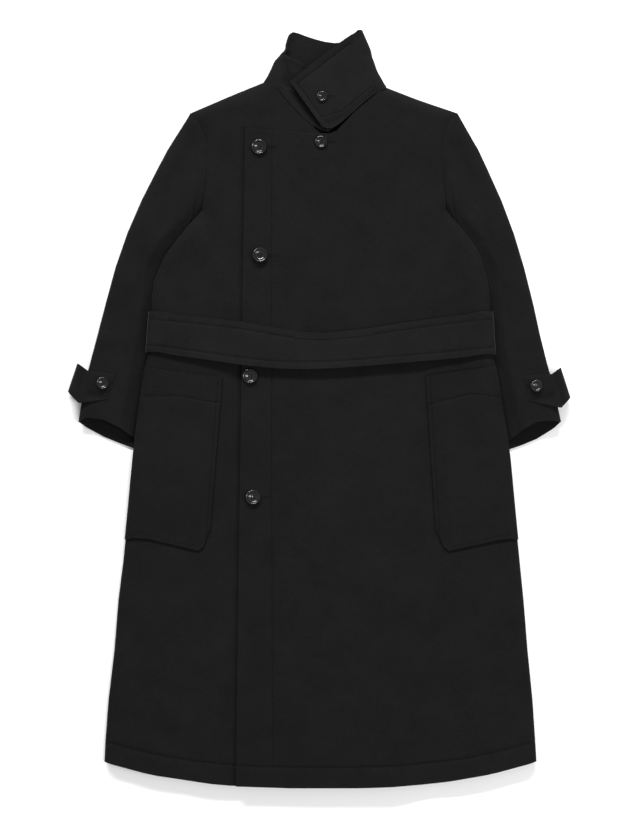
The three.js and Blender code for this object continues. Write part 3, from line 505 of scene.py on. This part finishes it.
class CoatSizes(bpy.types.PropertyGroup):
    """Sizes that a user would change."""

    fold_strength: bpy.props.FloatProperty(
        name="Fold strength", description="Height of the soft folds, as a share", default=1.0, min=0, max=2
    )
    stitch_length: bpy.props.FloatProperty(
        name="Stitch length",
        description="Length of one stitch",
        default=4.2 * MM,
        subtype="DISTANCE",
        unit="LENGTH",
    )
    stitch_pitch: bpy.props.FloatProperty(
        name="Stitch pitch",
        description="From one stitch to the next",
        default=5.6 * MM,
        subtype="DISTANCE",
        unit="LENGTH",
    )
    thread_width: bpy.props.FloatProperty(
        name="Thread width",
        description="Thickness of the sewing thread",
        default=0.7 * MM,
        subtype="DISTANCE",
        unit="LENGTH",
    )


class CoatColours(bpy.types.PropertyGroup):
    """Colours that a user would change."""

    cloth: bpy.props.FloatVectorProperty(
        name="Cloth",
        description="Colour of the wool",
        default=(0.0062, 0.0062, 0.0066),
        subtype="COLOR",
        min=0,
        max=1,
    )
    trim: bpy.props.FloatVectorProperty(
        name="Belt and collar",
        description="Colour of the double cloth",
        default=(0.0070, 0.0070, 0.0075),
        subtype="COLOR",
        min=0,
        max=1,
    )
    thread: bpy.props.FloatVectorProperty(
        name="Thread",
        description="Colour of the sewing thread",
        default=(0.0026, 0.0026, 0.0029),
        subtype="COLOR",
        min=0,
        max=1,
    )
    button: bpy.props.FloatVectorProperty(
        name="Buttons",
        description="Colour of the buttons",
        default=(0.003, 0.003, 0.0034),
        subtype="COLOR",
        min=0,
        max=1,
    )
    floor: bpy.props.FloatVectorProperty(
        name="Floor",
        description="Colour of the floor",
        default=(0.93, 0.93, 0.93),
        subtype="COLOR",
        min=0,
        max=1,
    )


def sizes():
    return bpy.context.scene.coat_sizes


def colours():
    return bpy.context.scene.coat_colours


def cloth_look():
    return material_named("coat_wool", wool, tuple(colours().cloth))


def trim_look():
    return material_named("trim_wool", wool, tuple(colours().trim))


def thread_look(name):
    return material_named(name, twisted_thread, tuple(colours().thread))


def hem_line(first_x, last_x, above):
    """Line at a height above the curved hem, between two places."""
    count = 14
    places = [first_x + (last_x - first_x) * k / count for k in range(count + 1)]
    sags = [HEM_SAG * (1 - min(abs(x) / HEM_HALF_WIDTH, 1) ** HEM_CURVE) for x in places]
    return [(x, HEM_SIDE_Y - sag + above) for x, sag in zip(places, sags)]


def beside(line, distance):
    """A line moved up or down by a distance."""
    return [(x, y + distance) for x, y in line]


# Topstitched lines of each piece: line, half width and depth of the groove that they pull in
SEWN_LINES = {
    "front_outer": [
        ([(-77, 436), (-78, 160), (-76, -574)], 2.2, 0.7),
        (hem_line(-132, 338, 33), 2.2, 0.8),
    ],
    "front_inner": [(hem_line(-338, -136, 33), 2.2, 0.8)],
    "collar": [
        ([(49, 583), (26, 565), (-36, 518)], 2.0, 0.9),
        ([(-36, 518), (-19, 495), (2, 465)], 2.0, 0.8),
        ([(2, 465), (36, 474), (60, 495), (84, 515)], 1.8, 0.7),
    ],
    "belt": [(beside(BELT_TOP, -12), 2.0, 0.8), (beside(BELT_BOTTOM, 11), 2.0, 0.8)],
    "pocket_left": [
        ([(-164, 8), (-224, 19.2), (-281, 19.2)], 2.0, 0.8),
        ([(-163, 46), (-182, -206), (-195, -222), (-288, -200), (-308, -204)], 1.8, 0.25),
    ],
    "pocket_right": [
        ([(174, 6.4), (241.6, 22.4), (288, 17.6)], 2.0, 0.8),
        ([(176, 48), (191.5, -208), (207, -222), (297.6, -202), (308, -204)], 1.8, 0.25),
    ],
}


def edge_roll(x, y, z):
    """The soft roll along the free edges of the outer front."""
    side = 1.1 * swell(away_from(FRONT_EDGE, x, y) - 5, 4.5)
    top = 0.7 * swell(away_from(FRONT_TOP, x, y) - 4, 4.0)
    return ramp(z, *UPPER_LAYERS) * max(side, top)


class MakeBody(bpy.types.Operator):
    """Makes the back and the two fronts"""

    bl_idname = "coat.make_body"
    bl_label = "Body panels"

    def execute(self, context):
        for node in ("back", "front_inner", "front_outer"):
            mesh = laid_cloth(node, sizes().fold_strength, edge_roll if node == "front_outer" else None)
            if node == "front_inner":
                # The shadow line beside the edge that lies on this front
                press_line(mesh, [(x - 3, y) for x, y in FRONT_EDGE], 4.5, 1.4)
            for line, half_width, depth in SEWN_LINES.get(node, []):
                press_line(mesh, line, half_width, depth)
            if node in POCKET_EDGES:
                press_line(mesh, POCKET_EDGES[node], 3.0, 0.9)
            if node == "back":
                press_line(mesh, hem_line(-335, 335, 33), 2.2, 0.6, upward=False)
            cloth_piece(node, mesh, cloth_look())
        return {"FINISHED"}


# The sleeves are smoothed round the armpits: places, reach and rounds
ARMPITS = {"sleeve_left": (-192, 322), "sleeve_right": (205, 322)}
ARMPIT_REACH, ARMPIT_ROUNDS = 62, 16


class MakeSleeves(bpy.types.Operator):
    """Makes the two sleeves"""

    bl_idname = "coat.make_sleeves"
    bl_label = "Sleeves"

    def execute(self, context):
        for node, (armpit_x, armpit_y) in ARMPITS.items():
            mesh = laid_cloth(node, sizes().fold_strength)
            near = [
                vert
                for vert in mesh.verts
                if math.hypot(vert.co.x / MM - armpit_x, vert.co.y / MM - armpit_y) < ARMPIT_REACH
            ]
            for _ in range(ARMPIT_ROUNDS):
                bmesh.ops.smooth_vert(
                    mesh, verts=near, factor=0.5, use_axis_x=False, use_axis_y=False, use_axis_z=True
                )
            mesh.normal_update()
            cloth_piece(node, mesh, cloth_look())
        return {"FINISHED"}


class MakePockets(bpy.types.Operator):
    """Makes the two patch pockets"""

    bl_idname = "coat.make_pockets"
    bl_label = "Pockets"

    def execute(self, context):
        for node in ("pocket_left", "pocket_right"):
            mesh = laid_cloth(node, sizes().fold_strength)
            for line, half_width, depth in SEWN_LINES[node]:
                press_line(mesh, line, half_width, depth)
            cloth_piece(node, mesh, cloth_look())
        return {"FINISHED"}


class MakeBelt(bpy.types.Operator):
    """Makes the belt"""

    bl_idname = "coat.make_belt"
    bl_label = "Belt"

    def execute(self, context):
        mesh = laid_cloth("belt", sizes().fold_strength)
        for line, half_width, depth in SEWN_LINES["belt"]:
            press_line(mesh, line, half_width, depth)
        cloth_piece("belt", mesh, trim_look())
        return {"FINISHED"}


# How far the collar's outline bends in: height on the plan, bend
LEFT_BEND = [(512, -5), (524, -6), (534, -4.5), (555, -4.5), (566, 0), (574, 4.5), (584, 2), (600, 0)]
RIGHT_BEND = [(512, -1), (524, 2.5), (540, 4), (558, 3), (576, 0), (600, 0)]
LEFT_CORNER, RIGHT_CORNER = (-80, 522), (102, 517)


def outline_bend(y, bends):
    """The bend at a height, from a table of heights and bends, and none outside it."""
    for (low, first), (high, second) in zip(bends, bends[1:]):
        if low < y <= high:
            return first + (second - first) * ramp(y, low, high)
    return 0.0


class MakeCollar(bpy.types.Operator):
    """Makes the collar"""

    bl_idname = "coat.make_collar"
    bl_label = "Collar"

    def execute(self, context):
        mesh = dense_copy("collar", CLOTH_PIECES["collar"][3])
        for vert in mesh.verts:
            x, y, z = vert.co / MM
            right = x > 0
            flap = ramp(z, *COLLAR_FLAP)
            leaf = ramp(z, *COLLAR_LEAF) * (1 - flap)
            edge = min(away_from(FLAP_TOP, x, y), away_from(FLAP_END, x, y))
            lift = flap * (1.3 * swell(edge, 5.5) - 0.5 * swell(edge - 11, 4.0))
            lift += flap * 0.8 * fold_height(FLAP_FOLDS, x, y)
            lift -= flap * 2.2 * swell(away_from(FLAP_FOOT, x, y), 7.0)
            lift -= leaf * 6.2 * swell(away_from(LEAF_VALLEY, x, y), 4.6)
            lift += leaf * 2.0 * swell(away_from(LEAF_TOP, x, y), 3.2)
            lift += (flap + leaf) * 0.35 * uneven(x, y, 26, 2.2)
            corner_x, corner_y = RIGHT_CORNER if right else LEFT_CORNER
            tuck = swell(math.hypot(x - corner_x, y - corner_y), 11.0)
            bend = outline_bend(y, RIGHT_BEND) if right else outline_bend(y, LEFT_BEND) * (1 - flap)
            outward = 3.2 * tuck - bend * ramp(abs(x), 28, 62)
            vert.co += Vector((outward if right else -outward, -4.6 * tuck, lift)) * MM
        mesh.normal_update()
        for line, half_width, depth in SEWN_LINES["collar"]:
            press_line(mesh, line, half_width, depth)
        cloth_piece("collar", mesh, trim_look())
        return {"FINISHED"}


# The collar's seam on the inner front, from its left end
NECK_SEAM = [(-78, 524), (-66, 509), (-52, 490), (-38, 472.5), (-22, 458), (-8, 450)]


def seam_tape(name, places, across):
    """Closes a seam from inside with a strip of cloth, from places along one edge and the way across."""
    mesh = bmesh.new()
    row = [mesh.verts.new(Vector(place) * MM) for place in places]
    edges = [mesh.edges.new(pair) for pair in zip(row, row[1:])]
    grown = bmesh.ops.extrude_edge_only(mesh, edges=edges)["geom"]
    far = [part for part in grown if isinstance(part, bmesh.types.BMVert)]
    bmesh.ops.translate(mesh, verts=far, vec=Vector(across) * MM)
    bmesh.ops.recalc_face_normals(mesh, faces=mesh.faces)
    bmesh.ops.solidify(mesh, geom=mesh.faces[:], thickness=0.5 * MM)
    tape = piece_from(mesh, name, cloth_look())


# The neck seam has a front near it only where one is found above this height
FRONT_AT_NECK = 0.008


class MakeSeamTapes(bpy.types.Operator):
    """Makes the tapes that close the neck seam and the armholes from inside"""

    bl_idname = "coat.make_seam_tapes"
    bl_label = "Seam tapes"

    def execute(self, context):
        fronts = [bpy.data.objects[name] for name in ("front_inner_cloth", "front_outer_cloth")]
        top_at = surface_of(fronts)
        places = []
        for x, y in NECK_SEAM:
            hits = (top_at(x - 3, y - 3), top_at(x - 6, y - 6))
            hits = [hit for hit in hits if hit and hit[0].z > FRONT_AT_NECK]
            height = min((hit[0].z / MM for hit in hits), default=12)
            places.append((x - 4.5, y - 3.5, height - 1.3))
        seam_tape("neck_tape", places, (8.6, 7, 0))
        for side, outward in (("left", -1), ("right", 1)):
            line = [*ARMHOLE[side][1:], (ARMHOLE[side][-1][0] + outward * 9, 303)]
            places = [(x - outward * 3, y, 3) for x, y in line]
            seam_tape("armhole_tape_" + side, places, (outward * 6, 1, 9))
        return {"FINISHED"}


# Sleeve straps: crease and ridge beside the sleeve's outer fold, and the rim over the sleeve
STRAP_LINES = {
    "sleeve_strap_left": (
        [(-374, 62), (-388, 14)],
        [(-381, 70), (-396, 22)],
        [(-388, 72), (-326, 56), (-340, 14.3), (-402, 26)],
    ),
    "sleeve_strap_right": (
        [(373, 56), (387, 8)],
        [(380, 64), (394, 14)],
        [(388, 66), (325.5, 53.5), (336.5, 10.7), (399, 20)],
    ),
}
# Heights above which a strap has its crease, and above which its rim is thinned
STRAP_TOP, STRAP_RIM = 12, 18


class MakeStraps(bpy.types.Operator):
    """Makes the two sleeve straps"""

    bl_idname = "coat.make_straps"
    bl_label = "Sleeve straps"

    def execute(self, context):
        for node, (crease, ridge, rim) in STRAP_LINES.items():

            def shape(x, y, z):
                if z < STRAP_TOP:
                    return 0.0
                return 0.7 * swell(away_from(ridge, x, y), 3.0) - 2.2 * swell(away_from(crease, x, y), 3.6)

            mesh = laid_cloth(node, sizes().fold_strength, shape)
            for vert in mesh.verts:
                x, y, z = vert.co / MM
                thin = swell(away_from(rim, x, y), 8.0) * (1 - ramp(abs(x), 366, 380))
                if z > STRAP_RIM:
                    vert.co.z -= (3.2 if vert.normal.z > 0.3 else 1.1) * thin * MM
            cloth_piece(node, mesh, cloth_look())
        return {"FINISHED"}


# Buttons: diameter in millimetres, and the piece that the button is sewn through
BUTTONS = {
    "button_chest": (25, "front_outer_cloth"),
    "button_waist": (25, "front_outer_cloth"),
    "button_under_belt": (25, "front_outer_cloth"),
    "button_hip": (25, "front_outer_cloth"),
    "button_neck": (20, "front_outer_cloth"),
    "button_collar": (17, "collar_cloth"),
    "button_sleeve_left": (20, "sleeve_strap_left_cloth"),
    "button_sleeve_right": (20, "sleeve_strap_right_cloth"),
}
# Half section of a button, from the middle of its back round the rim to the middle of its dish: shares
# of the radius and of the height
BUTTON_SECTION = [
    (0, 0), (0.86, 0), (0.95, 0.12), (1.0, 0.34), (1.0, 0.56), (0.97, 0.80), (0.92, 0.94), (0.86, 1.0),
    (0.79, 0.97), (0.73, 0.86), (0.66, 0.70), (0.56, 0.58), (0.42, 0.50), (0.24, 0.45), (0, 0.43),
]


# Points of a CAD button that lie farthest out, and how far apart those are that give its plane
RIM_POINTS, RIM_STEP = 40, 7
# A button's holes and their thread: shares of the radius, then the strand's radius and pitch in metres
HOLE_RING, HOLE_RADIUS, HOLE_REACH = 0.235, 0.092, 0.166
STRAND_RADIUS, STRAND_PITCH = 0.00021, 0.00034


def button_place(node):
    """The middle of a button's back, the way it faces and its height, from its CAD solid."""
    places = [vert.co.copy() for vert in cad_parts[node].data.vertices]
    centre = sum(places, Vector()) / len(places)
    highest = max(places, key=lambda place: place.z)
    rim = sorted(places, key=lambda place: -(place - centre).length)[:RIM_POINTS]
    normal = Vector()
    for first, second in zip(rim, rim[RIM_STEP:]):
        cross = (first - centre).cross(second - centre)
        normal += cross if cross.z > 0 else -cross
    normal.normalize()
    if (highest - centre).dot(normal) < 0:
        normal = -normal
    low = min((place - centre).dot(normal) for place in places)
    high = max((place - centre).dot(normal) for place in places)
    return centre + normal * low, normal, high - low


def turned_button(name, diameter, height, look):
    """A dished button with a rolled rim and four holes, made lying at the origin."""
    radius = diameter / 2 * MM
    mesh = bmesh.new()
    section = [mesh.verts.new((share * radius, 0, rise * height)) for share, rise in BUTTON_SECTION]
    edges = [mesh.edges.new(pair) for pair in zip(section, section[1:])]
    bmesh.ops.spin(
        mesh,
        geom=[*section, *edges],
        cent=(0, 0, 0),
        axis=(0, 0, 1),
        angle=math.tau,
        steps=56,
        use_merge=True,
    )
    bmesh.ops.remove_doubles(mesh, verts=mesh.verts, dist=0.000005)
    bmesh.ops.recalc_face_normals(mesh, faces=mesh.faces)
    button = piece_from(mesh, name, look, smooth_angle=40)
    drills = bmesh.new()
    for k in range(4):
        angle = math.tau * (k + 0.5) / 4
        x, y = HOLE_RING * radius * math.cos(angle), HOLE_RING * radius * math.sin(angle)
        bar(drills, 20, HOLE_RADIUS * radius, height * 2, Matrix.Translation((x, y, height / 2)))
    data = bpy.data.meshes.new("drills")
    drills.to_mesh(data)
    drills.free()
    drill = bpy.data.objects.new("drills", data)
    bpy.context.scene.collection.objects.link(drill)
    cut = button.modifiers.new("holes", "BOOLEAN")
    cut.operation = "DIFFERENCE"
    cut.solver = "EXACT"
    cut.object = drill
    ready = button.evaluated_get(bpy.context.evaluated_depsgraph_get())
    holed = bpy.data.meshes.new_from_object(ready)
    button.modifiers.clear()
    button.data = holed
    button.data.set_sharp_from_angle(angle=math.radians(35))
    bpy.data.objects.remove(drill)
    return button


def button_thread(name, diameter, height, look):
    """Two bars of thread between the holes, each of three strands, made lying at the origin."""
    radius = diameter / 2 * MM
    mesh = bmesh.new()
    reach = HOLE_REACH * radius
    turn = Matrix.Rotation(math.pi / 2, 4, "X")
    for side in (-1, 1):
        for strand in (-1, 0, 1):
            x = side * reach + strand * STRAND_PITCH
            place = Matrix.Translation((x, 0, height * 0.47 + 0.0002))
            bar(mesh, 8, STRAND_RADIUS, 2 * reach + 0.0009, place @ turn)
    return piece_from(mesh, name, look)


class MakeButtons(bpy.types.Operator):
    """Makes the buttons with their four holes and thread"""

    bl_idname = "coat.make_buttons"
    bl_label = "Buttons"

    def execute(self, context):
        look = material_named("button_horn", polished_horn, tuple(colours().button))
        thread = thread_look("button_thread")
        for k, (node, (diameter, _)) in enumerate(BUTTONS.items()):
            place, normal, height = button_place(node)
            lay = Vector((0, 0, 1)).rotation_difference(normal).to_matrix().to_4x4()
            turn = Matrix.Rotation(math.radians(17 * k - 40), 4, "Z")
            button = turned_button(node + "_turned", diameter, height, look)
            sewn = button_thread(node + "_thread", diameter, height, thread)
            for piece in (button, sewn):
                piece.data.transform(Matrix.Translation(place) @ lay @ turn)
            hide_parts(node)
        return {"FINISHED"}


class MakeButtonholes(bpy.types.Operator):
    """Makes the worked buttonholes beside the buttons"""

    bl_idname = "coat.make_buttonholes"
    bl_label = "Buttonholes"

    def execute(self, context):
        look = thread_look("coat_thread")
        for node, (diameter, under) in BUTTONS.items():
            top_at = surface_of([bpy.data.objects[under]])
            place, _, _ = button_place(node)
            x, y = place.x / MM, place.y / MM
            away = -1 if node == "button_sleeve_right" else 1
            length, half = diameter * 1.08, 1.3
            mesh = bmesh.new()
            for edge in (-half, half):
                line = [(x + away * 1.0, y + edge), (x + away * length, y + edge)]
                stitch_row(mesh, line, top_at, 1.5 * MM, 1.1 * MM, 0.9 * MM)
            eyelet = [
                (x + away * (length + half * math.sin(turn)), y + half * math.cos(turn))
                for turn in (0, 0.8, 1.57, 2.34, 3.14)
            ]
            stitch_row(mesh, eyelet, top_at, 1.2 * MM, 1.0 * MM, 0.9 * MM)
            piece_from(mesh, node.replace("button_", "buttonhole_"), look)
        return {"FINISHED"}


class MakeStitching(bpy.types.Operator):
    """Makes the rows of topstitching"""

    bl_idname = "coat.make_stitching"
    bl_label = "Topstitching"

    def execute(self, context):
        look = thread_look("coat_thread")
        for node, lines in SEWN_LINES.items():
            top_at = surface_of([bpy.data.objects[node + "_cloth"]])
            mesh = bmesh.new()
            for line, _, _ in lines:
                sewing = (sizes().stitch_length, sizes().stitch_pitch, sizes().thread_width)
                stitch_row(mesh, line, top_at, *sewing)
            piece_from(mesh, "stitching_" + node, look)
        return {"FINISHED"}


# Lights: place, aim, size and power
LIGHTS = {
    "head_light": ((-0.7, 4.6, 3.1), (0, -0.1, 0), (4.6, 0.6), 470),
    "side_light": ((2.1, -0.6, 3.4), (0, -0.2, 0), (0.7, 3.6), 95),
}
WORLD_STRENGTH = 0.48
FLOOR_HALF_SIZE, FLOOR_Z = 6, -0.0004

# The camera looks straight down: its distance, the length that its frame takes in, the coat's middle
SENSOR = 36
CAMERA_DISTANCE, VIEW_LENGTH = 4.0, 1.3008
VIEW_MIDDLE = (-0.0008, 0.0024, 0.018)


class MakeStage(bpy.types.Operator):
    """Makes the floor, the lights and the camera"""

    bl_idname = "coat.make_stage"
    bl_label = "Stage"

    def execute(self, context):
        scene = context.scene
        mesh = bmesh.new()
        bmesh.ops.create_grid(mesh, x_segments=4, y_segments=4, size=FLOOR_HALF_SIZE)
        bmesh.ops.translate(mesh, verts=mesh.verts, vec=(0, 0, FLOOR_Z))
        data = bpy.data.meshes.new("floor")
        mesh.to_mesh(data)
        mesh.free()
        floor = bpy.data.objects.new("floor", data)
        data.materials.append(material_named("floor_paint", floor_paint, tuple(colours().floor)))
        scene.collection.objects.link(floor)

        for name, (place, aim, size, power) in LIGHTS.items():
            light = bpy.data.lights.new(name, "AREA")
            light.shape = "RECTANGLE"
            light.size, light.size_y = size
            light.energy = power
            holder = bpy.data.objects.new(name, light)
            holder.location = place
            holder.rotation_euler = (Vector(aim) - Vector(place)).to_track_quat("-Z", "Y").to_euler()
            scene.collection.objects.link(holder)

        world = bpy.data.worlds.new("studio")
        world.use_nodes = True
        world.node_tree.nodes["Background"].inputs["Color"].default_value = (1, 1, 1, 1)
        world.node_tree.nodes["Background"].inputs["Strength"].default_value = WORLD_STRENGTH
        scene.world = world
        camera_data = bpy.data.cameras.new("camera")
        camera_data.sensor_width = SENSOR
        camera_data.lens = SENSOR * CAMERA_DISTANCE / VIEW_LENGTH
        camera_data.clip_start, camera_data.clip_end = 0.1, 40
        camera = bpy.data.objects.new("camera", camera_data)
        middle_x, middle_y, middle_z = VIEW_MIDDLE
        camera.location = (middle_x, middle_y, CAMERA_DISTANCE + middle_z)
        scene.collection.objects.link(camera)
        scene.camera = camera
        scene.view_settings.view_transform = "Standard"
        return {"FINISHED"}


# In the order in which they run: later makers rest on the pieces of earlier ones
MAKERS = (
    MakeStage,
    MakeBody,
    MakeSleeves,
    MakePockets,
    MakeBelt,
    MakeCollar,
    MakeSeamTapes,
    MakeStraps,
    MakeButtons,
    MakeButtonholes,
    MakeStitching,
)


class CoatPanel(bpy.types.Panel):
    """Lists the coat's sizes, colours and makers"""

    bl_idname = "VIEW3D_PT_coat"
    bl_label = "Wrap coat"
    bl_space_type = "VIEW_3D"
    bl_region_type = "UI"
    bl_category = "Coat"

    def draw(self, context):
        for group in (context.scene.coat_sizes, context.scene.coat_colours):
            for name in group.__annotations__:
                self.layout.prop(group, name)
        for maker in MAKERS:
            self.layout.operator(maker.bl_idname)


CLASSES = (CoatSizes, CoatColours, *MAKERS, CoatPanel)


def register():
    for made in CLASSES:
        bpy.utils.register_class(made)
    bpy.types.Scene.coat_sizes = bpy.props.PointerProperty(type=CoatSizes)
    bpy.types.Scene.coat_colours = bpy.props.PointerProperty(type=CoatColours)


def unregister():
    del bpy.types.Scene.coat_colours
    del bpy.types.Scene.coat_sizes
    for made in reversed(CLASSES):
        bpy.utils.unregister_class(made)


def main():
    register()
    for maker in MAKERS:
        group, action = maker.bl_idname.split(".")
        getattr(getattr(bpy.ops, group), action)()


if __name__ == "__main__":
    main()
